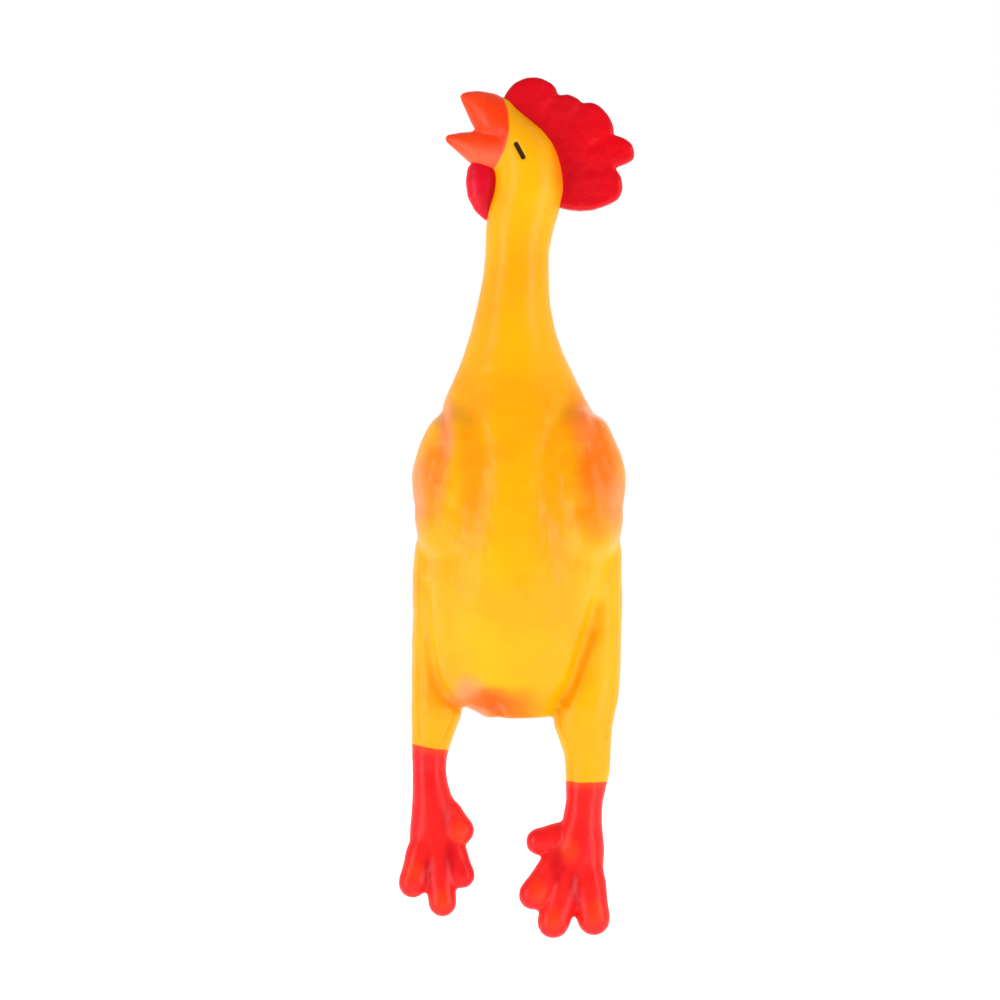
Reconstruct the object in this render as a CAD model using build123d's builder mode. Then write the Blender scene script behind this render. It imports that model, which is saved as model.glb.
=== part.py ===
"""Rubber chicken: a hollow moulded skin divided where it bends, with a squeaker in its vent.

Millimetres. +Z is up, the breast faces -Y and the beak points to -X. The origin is in the
middle of the neck, where a hand holds it.
"""

import os
from math import cos, sin, tau

from build123d import *

os.makedirs("parts", exist_ok=True)

# ---------------------------------------------------------------- driving dimensions

skin = 2.0  # wall of the moulded skin
gap = 0.3  # between neighbours that move apart

# Neck. The held band is centred on the origin, and the bending zones follow above and below.
neck_half = 17.0
grip_length = 18.0
sway_zone = 24.0
neck_band_length = 4.0
fold_zone = 24.0
throat_zone = 20.0

# Head, above the throat. The head is moulded in profile, with its beak to -X.
head_height = 69.0
head_half_width = 19.5
head_half_depth = 20.0

# Torso, from the shoulders down to the flat cut at the vent.
torso_length = 198.0
torso_half_width = 52.5
torso_half_depth = 44.0
vent_half = 20.0

# Breast: what lies in front of breast_edge is pressed in, and it gives as far as rim_edge.
breast_edge = -38.0
rim_edge = -28.0

# Wings: egg-shaped bulges on the flanks.
wing_half_height = 41.0
wing_radius = 22.0
wing_proud = 8.5  # how far a wing stands out beyond the torso
wing_share = 0.33  # how far down the torso its middle is
wing_forward = 3.0

# Legs. Heights are counted from the vent: the leg bends there, and again at the ankle.
hip_zone = 20.0
hip_above_vent = 4.0
ankle_zone = 16.0
toe_root_radius = 7.5
toe_tip_radius = 6.5
foot_radius = 11.5

# Beak, comb and wattle.
beak_half_depth = 11.0
beak_tip_half_depth = 3.0
jaw_front = -28.0
comb_thickness = 8.0
comb_zone = 10.0
comb_zone_start = 52.0  # distance of the bending zone from the origin, along the fin
wattle_radius = 8.0
wattle_bend_height = 54.0
wattle_back = -17.2  # the swinging part stays in front of the throat

# Squeaker, pushed into the vent.
vent_boss = 16.0
squeaker_radius = 11.0
squeaker_length = 13.0
squeaker_wall = 1.4
squeaker_fit = 0.05
flange_radius = 13.0
flange_thickness = 1.6
plate_thickness = 1.2
reed_length = 11.0
reed_width = 3.8
reed_thickness = 0.25
reed_clearance = 0.1
slot_clearance = 0.3
grille_hole_radius = 1.1

# ---------------------------------------------------------------- levels worked out from them

grip_top = grip_length / 2
head_base = grip_top + throat_zone
head_top = head_base + head_height
band_top = -grip_length / 2 - sway_zone
band_base = band_top - neck_band_length
shoulder = band_base - fold_zone
vent = shoulder - torso_length
hip_top = vent + hip_above_vent
hip_base = hip_top - hip_zone

# ---------------------------------------------------------------- shared shapes


def oval_loft(rows, inset=0.0, ruled=False):
    """A solid lofted through ovals: height, centre x, centre y, half width, half depth."""
    with BuildPart() as form:
        for height, x, y, half_width, half_depth in rows:
            turns = [tau * step / 8 for step in range(8)]
            oval = [
                (x + (half_width - inset) * cos(turn), y + (half_depth - inset) * sin(turn))
                for turn in turns
            ]
            with BuildSketch(Plane.XY.offset(height)):
                with BuildLine():
                    Spline(*oval, periodic=True)
                make_face()
        loft(ruled=ruled)
    return form.part


def between(form, low, high):
    """The stretch of a solid between two heights."""
    with BuildPart() as stretch:
        add(form)
        split(bisect_by=Plane.XY.offset(low), keep=Keep.TOP)
        split(bisect_by=Plane.XY.offset(high), keep=Keep.BOTTOM)
    return stretch.part


def egg(centre, radius, half_height):
    """An egg that stands on end: an ellipse turned about the vertical through its centre."""
    with BuildPart() as form:
        with BuildSketch(Plane(origin=centre, x_dir=(1, 0, 0), z_dir=(0, -1, 0))):
            Ellipse(half_height, radius, rotation=90)
            with Locations((-radius, 0)):
                Rectangle(2 * radius, 3 * half_height, mode=Mode.SUBTRACT)
        revolve(axis=Axis(centre, (0, 0, 1)))
    return form.part


def finger(root, tip, root_radius, tip_radius):
    """A tapered finger with round ends: two circles and the hull round them, turned."""
    reach = Vector(*tip) - Vector(*root)
    side = reach.cross(Vector(0, 1, 0)).cross(reach)
    with BuildPart() as form:
        with BuildSketch(Plane(origin=root, x_dir=reach, z_dir=side)):
            Circle(root_radius)
            with Locations((reach.length, 0)):
                Circle(tip_radius)
            make_hull()
            with Locations((reach.length / 2, -root_radius)):
                Rectangle(3 * reach.length, 2 * root_radius, mode=Mode.SUBTRACT)
        revolve(axis=Axis(root, reach))
    return form.part


def plate(outline, thickness):
    """A flat plate in the frontal plane, centred on it."""
    with BuildPart() as form:
        with BuildSketch(Plane.XZ):
            with BuildLine():
                Polyline(*outline, close=True)
            make_face()
        extrude(amount=thickness / 2, both=True)
    return form.part


def write(solid, name):
    """Labels a finished piece and writes it under its own name."""
    solid.label = name
    export_step(solid, f"parts/{name}.step")


# ---------------------------------------------------------------- the moulded skin

# Shares of the height, width and depth of the head, neck and torso, with offsets in x and y.
head_rows = [
    (head_base + head_height * up, x, 0, head_half_width * wide, head_half_depth * deep)
    for up, x, wide, deep in [
        (1.0, -5, 0.26, 0.25),
        (0.88, -0.5, 0.44, 0.50),
        (0.71, 5, 0.62, 0.78),
        (0.51, 7.5, 0.82, 0.95),
        (0.30, 6, 1.0, 1.0),
        (0.13, 5, 1.0, 0.95),
    ]
]
neck_rows = [
    (head_base - 3, 2, 0, neck_half * 1.12, neck_half * 1.06),
    (grip_top, 0.2, 0, neck_half, neck_half),
    (-grip_length / 4, 0, 0, neck_half * 1.05, neck_half * 1.05),
    (shoulder * 0.33, -1.8, 0, neck_half * 1.16, neck_half * 1.12),
    (shoulder * 0.59, -2.5, 0, neck_half * 1.38, neck_half * 1.29),
    (shoulder * 0.82, -2.5, 0, neck_half * 1.68, neck_half * 1.47),
]
torso_rows = [
    (shoulder - torso_length * down, x, y, torso_half_width * wide, torso_half_depth * deep)
    for down, x, y, wide, deep in [
        (0.02, -1.7, 0, 0.66, 0.64),
        (0.10, -1, -1, 0.79, 0.73),
        (0.20, 0, -3, 0.92, 0.86),
        (0.35, 1, -5, 1.0, 0.98),
        (0.53, 0, -6, 0.99, 1.0),
        (0.68, -2, -5, 0.91, 0.93),
        (0.80, -2, -4, 0.76, 0.78),
        (0.90, -1, -2, 0.57, 0.61),
        (0.96, 0, -1, 0.46, 0.50),
    ]
]
skin_rows = head_rows + neck_rows + torso_rows + [(vent, 1.5, 0, vent_half, vent_half)]

skin_form = oval_loft(skin_rows)
skin_clear = oval_loft(skin_rows, inset=-gap)
cavity = between(oval_loft(skin_rows, inset=skin), vent + vent_boss, head_top - skin)
skin_shell = skin_form - cavity

with BuildPart() as head_skin:
    add(between(skin_shell, head_base, head_top))

with BuildPart() as throat_flex:
    add(between(skin_shell, grip_top, head_base - gap))

with BuildPart() as neck_grip:
    add(between(skin_shell, -grip_length / 2, grip_top))

with BuildPart() as neck_sway_flex:
    add(between(skin_shell, band_top + gap, -grip_length / 2))

with BuildPart() as neck_band:
    add(between(skin_shell, band_base, band_top))

with BuildPart() as neck_fold_flex:
    add(between(skin_shell, shoulder + gap, band_base))

# ---------------------------------------------------------------- torso, breast and wings

torso_shell = between(skin_shell, vent, shoulder)

with BuildPart() as breast_pad:
    add(torso_shell)
    split(bisect_by=Plane.XZ.offset(-breast_edge), keep=Keep.TOP)

with BuildPart() as breast_rim:
    add(torso_shell)
    split(bisect_by=Plane.XZ.offset(-breast_edge - gap), keep=Keep.BOTTOM)
    split(bisect_by=Plane.XZ.offset(-rim_edge), keep=Keep.TOP)

wing_forms, wing_hollows = {}, {}
for side, sign in (("left", -1), ("right", 1)):
    wing_centre = (
        sign * (torso_half_width + wing_proud - wing_radius),
        -wing_forward,
        shoulder - torso_length * wing_share,
    )
    wing_forms[side] = egg(wing_centre, wing_radius, wing_half_height)
    wing_hollows[side] = egg(wing_centre, wing_radius - skin, wing_half_height - skin)
    with BuildPart() as wing:
        add(wing_forms[side])
        add(wing_hollows[side], mode=Mode.SUBTRACT)
        add(skin_form, mode=Mode.SUBTRACT)
    write(wing.part, f"wing_{side}")

# ---------------------------------------------------------------- legs and feet

# Height above the vent, centre x, half width and half depth, from the flank to the foot.
leg_shapes = {
    "left": [
        (94, -48, 7, 12),
        (69, -48, 11.5, 19),
        (44, -47.5, 12.5, 20),
        (19, -47, 13.5, 17),
        (3, -46.5, 14.2, 14.5),
        (-6, -48.8, 11.9, 12.5),
        (-15, -50.3, 10.5, 11),
        (-25, -51.4, 8.7, 9.3),
        (-34, -51.7, 8, 8.5),
        (-43, -50.8, 8.6, 8.6),
        (-54, -48.5, 10.5, 9),
        (-66, -46.8, 11.5, 9.5),
    ],
    "right": [
        (94, 47, 7, 12),
        (69, 48.2, 11.5, 19),
        (41, 47.2, 12.5, 20),
        (19, 43.2, 14.5, 18),
        (3, 40.5, 15.5, 15.5),
        (-6, 39, 15.5, 15),
        (-15, 40.2, 13.7, 13),
        (-25, 41.3, 11.9, 11.5),
        (-34, 41, 11, 10.5),
        (-43, 40.2, 10.2, 9.8),
        (-53, 39, 8.4, 9),
        (-62, 36.6, 9.5, 9),
        (-74, 36.2, 11.5, 9.5),
    ],
}
# Where the leg's paint changes, where the ankle's bend starts, and the middle of the foot.
colour_line = {"left": -20, "right": -40}
ankle_top = {"left": -30, "right": -46}
foot_middle = {"left": (-46.8, -3, -68), "right": (36.2, -3, -75)}
# Each toe's root and tip. A toe with no root starts in the middle of the foot.
toes = {
    "left": {
        "outer": (None, (-61.5, -14, -99)),
        "middle": (None, (-43.8, -18, -110)),
        "inner": (None, (-32.5, -14, -92)),
        "back": ((-45, 0, -56), (-31.5, 6, -67.5)),
    },
    "right": {
        "outer": (None, (41.5, -16, -121.5)),
        "middle": (None, (22.3, -18, -123)),
        "inner": (None, (10, -14, -104.5)),
        "back": ((33, 0, -70), (12.5, 6, -72.5)),
    },
}


def from_vent(point):
    """A point given by its height above the vent, moved into the part's own frame."""
    return (point[0], point[1], point[2] + vent)


leg_hollows = {}
for side, rows in leg_shapes.items():
    leg_rows = [(vent + up, x, 0, wide, deep) for up, x, wide, deep in rows]
    line = vent + colour_line[side]
    ankle_high = vent + ankle_top[side]
    ankle_low = ankle_high - ankle_zone
    leg_form = oval_loft(leg_rows, ruled=True)
    leg_cavity = oval_loft(leg_rows, inset=skin, ruled=True)
    leg_hollows[side] = between(leg_cavity, ankle_low, vent + rows[0][0] - skin)
    leg_shell = leg_form - leg_hollows[side]
    leg_clear = leg_shell - skin_clear

    with BuildPart() as thigh:
        add(between(leg_shell, hip_top, vent + rows[0][0]))
        add(skin_form, mode=Mode.SUBTRACT)
        add(wing_forms[side], mode=Mode.SUBTRACT)
    with BuildPart() as hip_flex:
        add(between(leg_clear, hip_base + gap, hip_top))
    with BuildPart() as leg:
        add(between(leg_shell, line, hip_base))
    with BuildPart() as shank:
        add(between(leg_shell, ankle_high, line))
    with BuildPart() as ankle_flex:
        add(between(leg_shell, ankle_low + gap, ankle_high))

    middle = from_vent(foot_middle[side])
    with BuildPart() as foot:
        add(between(leg_form, vent + rows[-1][0], ankle_low))
        add(egg(middle, foot_radius, foot_radius))
    taken = foot.part
    write(foot.part, f"foot_{side}")
    for toe_name, (root, tip) in toes[side].items():
        start = from_vent(root) if root else middle
        with BuildPart() as toe:
            add(finger(start, from_vent(tip), toe_root_radius, toe_tip_radius))
            add(taken, mode=Mode.SUBTRACT)
        taken = taken + toe.part
        write(toe.part, f"toe_{toe_name}_{side}")

    write(thigh.part, f"thigh_{side}")
    write(hip_flex.part, f"hip_flex_{side}")
    write(leg.part, f"leg_{side}")
    write(shank.part, f"shank_{side}")
    write(ankle_flex.part, f"ankle_flex_{side}")

# The torso's own wall, opened for the breast, for the hollow wings and legs, and for the squeaker.
with BuildPart() as torso_skin:
    add(torso_shell)
    split(bisect_by=Plane.XZ.offset(-rim_edge), keep=Keep.BOTTOM)
    for side in wing_forms:
        add(wing_hollows[side], mode=Mode.SUBTRACT)
        add(between(leg_hollows[side], hip_top, vent + leg_shapes[side][0][0]), mode=Mode.SUBTRACT)
    with BuildSketch(Plane.XY.offset(vent)):
        Circle(squeaker_radius + squeaker_fit)
    extrude(amount=2 * vent_boss, mode=Mode.SUBTRACT)
    with BuildSketch(Plane.XY.offset(vent + squeaker_length / 2 - squeaker_fit)):
        Circle(flange_radius + squeaker_fit)
    extrude(amount=flange_thickness + 2 * squeaker_fit, mode=Mode.SUBTRACT)

# ---------------------------------------------------------------- head: beak, comb and wattle

beak_plan = [
    (4, beak_half_depth),
    (-16, beak_half_depth * 0.8),
    (-41, beak_tip_half_depth),
    (-41, -beak_tip_half_depth),
    (-16, -beak_half_depth * 0.8),
    (4, -beak_half_depth),
]
upper_profile = [(-7, 69.8), (-21.4, 74.3), (-31.6, 72.7), (-19.5, 49.8), (-4, 50.5)]
lower_profile = [(-3, 50), (-19.5, 49.2), (-40.4, 47.7), (-30.3, 34.8), (-22, 31.5), (-8, 31.4)]

with BuildPart() as beak_envelope:
    with BuildSketch(Plane.XY.offset(head_base)):
        with BuildLine():
            Polyline(*beak_plan, close=True)
        make_face()
    extrude(amount=head_height + 10)

beak_forms = []
for profile in (upper_profile, lower_profile):
    raised = [(x, up + head_base) for x, up in profile]
    beak_forms.append(plate(raised, 4 * beak_half_depth) & beak_envelope.part)

with BuildPart() as beak_upper:
    add(beak_forms[0])
    add(skin_form, mode=Mode.SUBTRACT)

with BuildPart() as jaw_flex:
    add(beak_forms[1])
    add(skin_form, mode=Mode.SUBTRACT)
    split(bisect_by=Plane.YZ.offset(jaw_front + gap), keep=Keep.TOP)

with BuildPart() as beak_lower:
    add(beak_forms[1])
    split(bisect_by=Plane.YZ.offset(jaw_front), keep=Keep.BOTTOM)

# The comb is a flat fin along the back of the head. It bends about a line beside the head.
comb_outline = [
    (-7, 71),
    (0, 77),
    (10.2, 82),
    (19.5, 79.7),
    (24.1, 71.6),
    (31.7, 71.6),
    (37.5, 67.5),
    (44.5, 67.5),
    (54.4, 57),
    (55.5, 48.9),
    (66.6, 43.1),
    (67.2, 35.5),
    (56.1, 31.5),
    (60.8, 19.8),
    (56.7, 12.8),
    (48, 8.2),
    (39.8, 6.4),
    (22, 8.8),
    (8, 35),
    (0, 60),
]
comb_direction = Vector(0.899, 0, 0.438)
comb_plate = plate([(x, up + head_base) for x, up in comb_outline], comb_thickness) - skin_form


def comb_plane(distance):
    """The plane across the comb at a distance from the origin, facing its free edge."""
    return Plane(origin=comb_direction * distance, z_dir=comb_direction)


with BuildPart() as comb_root:
    add(comb_plate)
    split(bisect_by=comb_plane(comb_zone_start), keep=Keep.BOTTOM)

with BuildPart() as comb_flex:
    add(comb_plate)
    split(bisect_by=comb_plane(comb_zone_start), keep=Keep.TOP)
    split(bisect_by=comb_plane(comb_zone_start + comb_zone - gap), keep=Keep.BOTTOM)

with BuildPart() as comb_fin:
    add(comb_plate)
    split(bisect_by=comb_plane(comb_zone_start + comb_zone), keep=Keep.TOP)

wattle_form = finger((-21, 0, 54), (-19.5, 0, 36), wattle_radius, wattle_radius * 0.9) - skin_clear
wattle_form = wattle_form - beak_forms[1]

with BuildPart() as wattle_flex:
    add(wattle_form)
    split(bisect_by=Plane.XY.offset(wattle_bend_height), keep=Keep.TOP)

with BuildPart() as wattle:
    add(wattle_form)
    split(bisect_by=Plane.XY.offset(wattle_bend_height - gap), keep=Keep.BOTTOM)
    split(bisect_by=Plane.YZ.offset(wattle_back), keep=Keep.BOTTOM)

# ---------------------------------------------------------------- squeaker

ledge_low = vent + (squeaker_length - plate_thickness) / 2
plate_low = ledge_low + plate_thickness
reed_low = plate_low + plate_thickness + reed_clearance
cup_bore = squeaker_radius - squeaker_wall
slot_start = -reed_length / 2 + 2

with BuildPart() as squeaker_cup:
    with BuildSketch(Plane.XY.offset(vent)):
        Circle(squeaker_radius)
    extrude(amount=squeaker_length)
    with BuildSketch(Plane.XY.offset(vent + squeaker_length / 2)):
        Circle(flange_radius)
    extrude(amount=flange_thickness)
    with BuildSketch(Plane.XY.offset(vent)):
        Circle(cup_bore)
    extrude(amount=squeaker_length, mode=Mode.SUBTRACT)
    with BuildSketch(Plane.XY.offset(ledge_low)):
        Circle(cup_bore)
        Circle(cup_bore - squeaker_wall, mode=Mode.SUBTRACT)
    extrude(amount=plate_thickness)

with BuildPart() as squeaker_plate:
    with BuildSketch(Plane.XY.offset(plate_low)):
        Circle(cup_bore - squeaker_fit)
        with Locations((slot_start, 0)):
            Rectangle(
                reed_length - 2 + 2 * slot_clearance,
                reed_width + 2 * slot_clearance,
                align=(Align.MIN, Align.CENTER),
                mode=Mode.SUBTRACT,
            )
    extrude(amount=plate_thickness)

with BuildPart() as squeaker_reed:
    with BuildSketch(Plane.XY.offset(reed_low)):
        Rectangle(reed_length, reed_width)
    extrude(amount=reed_thickness)

with BuildPart() as squeaker_clamp:
    with BuildSketch(Plane.XY.offset(plate_low + plate_thickness)):
        with Locations((slot_start - 1, 0)):
            Rectangle(1.8, 2 * reed_width)
    extrude(amount=3 * reed_thickness + 2 * reed_clearance)
    with BuildSketch(Plane.XY.offset(plate_low + plate_thickness)):
        Rectangle(2 * reed_length, reed_width + 2 * slot_clearance)
    extrude(amount=reed_thickness + 2 * reed_clearance, mode=Mode.SUBTRACT)

with BuildPart() as squeaker_grille:
    with BuildSketch(Plane.XY.offset(vent)):
        Circle(cup_bore - squeaker_fit)
        Circle(grille_hole_radius, mode=Mode.SUBTRACT)
        with PolarLocations(cup_bore * 0.55, 6):
            Circle(grille_hole_radius, mode=Mode.SUBTRACT)
    extrude(amount=plate_thickness)

# ---------------------------------------------------------------- files

pieces = {
    "head_skin": head_skin,
    "throat_flex": throat_flex,
    "neck_grip": neck_grip,
    "neck_sway_flex": neck_sway_flex,
    "neck_band": neck_band,
    "neck_fold_flex": neck_fold_flex,
    "torso_skin": torso_skin,
    "breast_pad": breast_pad,
    "breast_rim": breast_rim,
    "beak_upper": beak_upper,
    "jaw_flex": jaw_flex,
    "beak_lower": beak_lower,
    "comb_root": comb_root,
    "comb_flex": comb_flex,
    "comb_fin": comb_fin,
    "wattle_flex": wattle_flex,
    "wattle": wattle,
    "squeaker_cup": squeaker_cup,
    "squeaker_plate": squeaker_plate,
    "squeaker_reed": squeaker_reed,
    "squeaker_clamp": squeaker_clamp,
    "squeaker_grille": squeaker_grille,
}
for name, piece in pieces.items():
    write(piece.part, name)
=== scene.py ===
"""Rubber chicken: a hollow latex moulding, painted by hand, with a squeaker in its vent."""

import math

import bmesh
import bpy
from mathutils import Matrix, Vector, noise
from mathutils.geometry import intersect_point_line


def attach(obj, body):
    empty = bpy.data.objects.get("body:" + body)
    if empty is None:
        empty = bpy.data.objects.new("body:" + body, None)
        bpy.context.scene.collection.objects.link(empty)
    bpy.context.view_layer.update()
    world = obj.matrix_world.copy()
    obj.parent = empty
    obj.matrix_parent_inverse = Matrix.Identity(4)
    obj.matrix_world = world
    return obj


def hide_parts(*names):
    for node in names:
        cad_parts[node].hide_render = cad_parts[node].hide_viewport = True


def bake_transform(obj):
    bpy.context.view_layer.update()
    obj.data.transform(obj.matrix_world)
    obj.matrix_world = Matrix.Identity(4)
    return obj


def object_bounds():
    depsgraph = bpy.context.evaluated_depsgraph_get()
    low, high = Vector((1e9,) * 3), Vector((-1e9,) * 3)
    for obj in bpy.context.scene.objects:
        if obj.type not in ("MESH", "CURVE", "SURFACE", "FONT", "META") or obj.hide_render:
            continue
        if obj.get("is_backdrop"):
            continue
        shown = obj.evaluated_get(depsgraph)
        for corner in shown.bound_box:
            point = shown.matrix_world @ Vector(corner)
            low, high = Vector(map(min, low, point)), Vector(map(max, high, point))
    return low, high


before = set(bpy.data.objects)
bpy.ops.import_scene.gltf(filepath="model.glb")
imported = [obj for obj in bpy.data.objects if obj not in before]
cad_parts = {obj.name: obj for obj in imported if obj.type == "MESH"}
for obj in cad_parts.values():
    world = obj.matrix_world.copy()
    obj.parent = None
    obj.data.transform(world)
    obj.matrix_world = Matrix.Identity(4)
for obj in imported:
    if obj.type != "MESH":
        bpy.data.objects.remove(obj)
cad_low, cad_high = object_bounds()
mm = 0.001

# ---------------------------------------------------------------- clay master: body and neck
# The mould is taken from a clay model: an egg-shaped body that runs up into a long neck and
# a narrow head. It starts as overlapping rolls and lumps of clay, blended further down.
clay = bmesh.new()


def oval(form, point, along, half_width, half_depth, capped):
    """One oval of a roll of clay, square to the way the roll runs. Returns its edges."""
    deep = (Vector((0, 1, 0)) - along * along.y).normalized()
    wide = deep.cross(along)
    turn = Matrix((wide * half_width, deep * half_depth, along)).transposed().to_4x4()
    place = Matrix.Scale(mm, 4) @ Matrix.Translation(point) @ turn
    made = bmesh.ops.create_circle(
        form, cap_ends=capped, segments=40, radius=1, matrix=place
    )
    return list({edge for vert in made["verts"] for edge in vert.link_edges})


def roll(form, path, level=False):
    """A roll of clay through ovals: centre, half width and half depth, in millimetres."""
    centres = [Vector(point) for point, _, _ in path]
    before = None
    for step, (point, half_width, half_depth) in enumerate(path):
        last = min(step + 1, len(path) - 1)
        along = (centres[last] - centres[max(step - 1, 0)]).normalized()
        if level:
            along = Vector((0, 0, 1))
        capped = step in (0, len(path) - 1)
        edges = oval(form, Vector(point), along, half_width, half_depth, capped)
        if before:
            bmesh.ops.bridge_loops(form, edges=before + edges)
        before = edges


def lump(form, centre, radii):
    """An egg of clay, in millimetres."""
    place = Matrix.Scale(mm, 4) @ Matrix.Translation(centre) @ Matrix.Diagonal((*radii, 1))
    bmesh.ops.create_uvsphere(form, u_segments=32, v_segments=20, radius=1, matrix=place)


body_ovals = [
    ((0.8, 0, -260.3), 19.8, 19),
    ((-0.6, -0.5, -257.5), 22.5, 21),
    ((-4.7, -1.5, -253.5), 28.5, 24),
    ((-8, -2.5, -247.5), 34.5, 27.5),
    ((-8, -3.5, -238), 40, 31),
    ((-7, -4, -222), 44, 35.5),
    ((-4, -5, -204), 47.5, 40),
    ((-2.2, -6, -185), 50, 43),
    ((-0.5, -6, -165), 51.5, 43.5),
    ((0.5, -5.5, -140), 51.5, 43),
    ((0.5, -4, -115), 50, 40),
    ((-0.5, -2, -95), 47.5, 36),
    ((-1, -0.5, -78), 41, 31.5),
    ((-1.5, 0, -64), 33.8, 27.5),
    ((-2.2, 0, -50), 28, 24.5),
    ((-2.5, 0, -36), 23.3, 22),
    ((-2, 0, -20), 19.8, 19.4),
    ((-0.6, 0, -4), 17.9, 17.9),
    ((-0.2, 0, 10), 17.1, 17.2),
    ((1, 0, 22), 18.2, 17.8),
    ((3.5, 0, 34), 19.6, 18.6),
    ((6.9, 0, 46), 19.1, 19.6),
    ((6.7, 0, 57), 18.3, 19.4),
    ((5.6, 0, 67), 17, 18.2),
    ((3.8, 0, 74), 15.6, 16.2),
    ((0.6, 0, 81), 13.2, 13.8),
    ((-4.2, 0, 88), 9.2, 10.6),
    ((-8.4, 0, 94.5), 6, 7),
    ((-10.5, 0, 98.5), 3, 3.6),
]
roll(clay, body_ovals, level=True)

# The lobed wings are folded against the flanks, and reach round to the breast.
for sign in (-1, 1):
    lump(clay, (sign * 33 + 0.5, -10, -104), (22, 28, 23))
    lump(clay, (sign * 36.5 + 0.8, -10, -125), (24.5, 31, 36))
    lump(clay, (sign * 37.5 + 0.8, -11, -146), (22, 28, 26))

# ---------------------------------------------------------------- clay master: beak
# A short gaping beak: two tapered rolls that meet in the corner of the mouth.
upper_beak = [
    ((-6.5, 0, 83), 10.5, 11),
    ((-13.6, 0, 89.6), 12.4, 10.5),
    ((-20.2, 0, 94.8), 9.4, 8),
    ((-26, 0, 99), 5.6, 4.8),
    ((-32.4, 0, 102.4), 0.6, 1.0),
]
lower_beak = [
    ((-4, 0, 69), 10.5, 12),
    ((-17, 0, 69.9), 10, 10),
    ((-25, 0, 72), 8.2, 8),
    ((-33, 0, 75), 4.6, 4.8),
    ((-41.4, 0, 77.4), 0.6, 1.0),
]
roll(clay, upper_beak)
roll(clay, lower_beak)

# ---------------------------------------------------------------- clay master: legs and feet
# Thick thighs lie against the belly, and short shanks end in chubby feet with four toes.
leg_ovals = {
    "left": [
        ((-47.5, 2, -158), 11, 14),
        ((-48, 3, -180), 11.8, 18),
        ((-48, 3, -215), 12, 18),
        ((-47.5, 2, -236), 13, 16),
        ((-46.9, 1, -250), 13.8, 14.2),
        ((-47.2, 0, -258), 13.4, 13),
        ((-48.8, 0, -266), 11.9, 11.4),
        ((-50.3, 0, -275), 10.4, 10.2),
        ((-51.4, 0, -284), 8.8, 9.2),
        ((-51.6, 0, -294), 8.2, 8.8),
        ((-50.9, -1, -303), 8.9, 9.2),
        ((-49.4, -2, -314), 11, 9.8),
        ((-48, -4, -328), 13.6, 9.6),
        ((-47.5, -6, -340), 14, 8.6),
        ((-47, -8, -347), 10, 6),
    ],
    "right": [
        ((48, 2, -158), 11.5, 14),
        ((48.2, 3, -180), 12, 18),
        ((46.8, 3, -215), 13, 18),
        ((43.6, 2, -236), 15.4, 16),
        ((41, 0, -250), 17, 14.8),
        ((39.4, -1, -258), 16.6, 14.4),
        ((38.8, -1, -266), 16, 13.4),
        ((40.2, -1, -275), 13.8, 12.2),
        ((41.2, 0, -284), 12.2, 11.2),
        ((41.2, 0, -293), 11.6, 10.4),
        ((40.2, 0, -302), 10.4, 10),
        ((39.2, -1, -312), 9.2, 9.6),
        ((38, -2, -324), 10.2, 9.8),
        ((36.5, -4, -337), 13.2, 10),
        ((34, -6, -350), 15, 9),
        ((33, -8, -357), 10, 6),
    ],
}
# Each toe: where it starts, where its round tip is centred, and its radius at both.
toe_rolls = {
    "left": [
        ((-50, -3, -322), (-61, -13, -358), 8, 7.2),
        ((-47, -4, -325), (-43.6, -17, -368.5), 8, 7),
        ((-45, -3, -324), (-32.4, -12, -353.5), 7.5, 6.4),
        ((-49, 0, -309), (-33.2, -5, -328), 7.8, 6.8),
    ],
    "right": [
        ((38.5, -3, -334), (44.3, -14, -378.5), 8.4, 8.4),
        ((36, -4, -338), (20.8, -17, -379.8), 8.6, 8.3),
        ((34, -3, -334), (9.4, -13, -364.6), 8, 7.6),
        ((35, 0, -331.5), (13, -3, -335), 8.8, 6.8),
    ],
}
swellings = [(0, 1.0), (0.3, 0.92), (0.55, 1.04), (0.8, 0.95), (1.0, 1.0)]
for side, ovals in leg_ovals.items():
    roll(clay, ovals)
    for root, tip, root_radius, tip_radius in toe_rolls[side]:
        root, tip = Vector(root), Vector(tip)
        reach = (tip - root).normalized()
        path = []
        for share, plump in swellings:
            radius = (root_radius + (tip_radius - root_radius) * share) * plump
            path.append((root.lerp(tip, share), radius, radius * 0.9))
        for share in (0.5, 0.85, 0.98):
            radius = tip_radius * math.sqrt(1 - share * share)
            path.append((tip + reach * tip_radius * share, radius, radius * 0.9))
        roll(clay, path)

# ---------------------------------------------------------------- clay master: surface
# The lumps are blended into one skin and smoothed with a wet finger. Then folds, feather
# strokes, the eyes and a plucked skin are pressed into it.


def blended(form, grain):
    """Melts overlapping lumps into one closed skin of small even faces."""
    bmesh.ops.recalc_face_normals(form, faces=form.faces)
    mesh = bpy.data.meshes.new("lumps")
    form.to_mesh(mesh)
    form.free()
    lumps = bpy.data.objects.new("lumps", mesh)
    bpy.context.scene.collection.objects.link(lumps)
    melt = lumps.modifiers.new("melt", "REMESH")
    melt.mode, melt.voxel_size = "VOXEL", grain
    graph = bpy.context.evaluated_depsgraph_get()
    skin = bmesh.new()
    skin.from_mesh(lumps.evaluated_get(graph).to_mesh())
    bpy.data.objects.remove(lumps)
    return skin


def smooth(form, verts, rounds):
    """Evens out some of the surface."""
    for _ in range(rounds):
        bmesh.ops.smooth_vert(
            form, verts=verts, factor=0.5, use_axis_x=True, use_axis_y=True, use_axis_z=True
        )


def step(value, low, high):
    """0 at low, 1 at high, and a soft step from one to the other."""
    share = min(max((value - low) / (high - low), 0.0), 1.0)
    return share * share * (3 - 2 * share)


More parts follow.
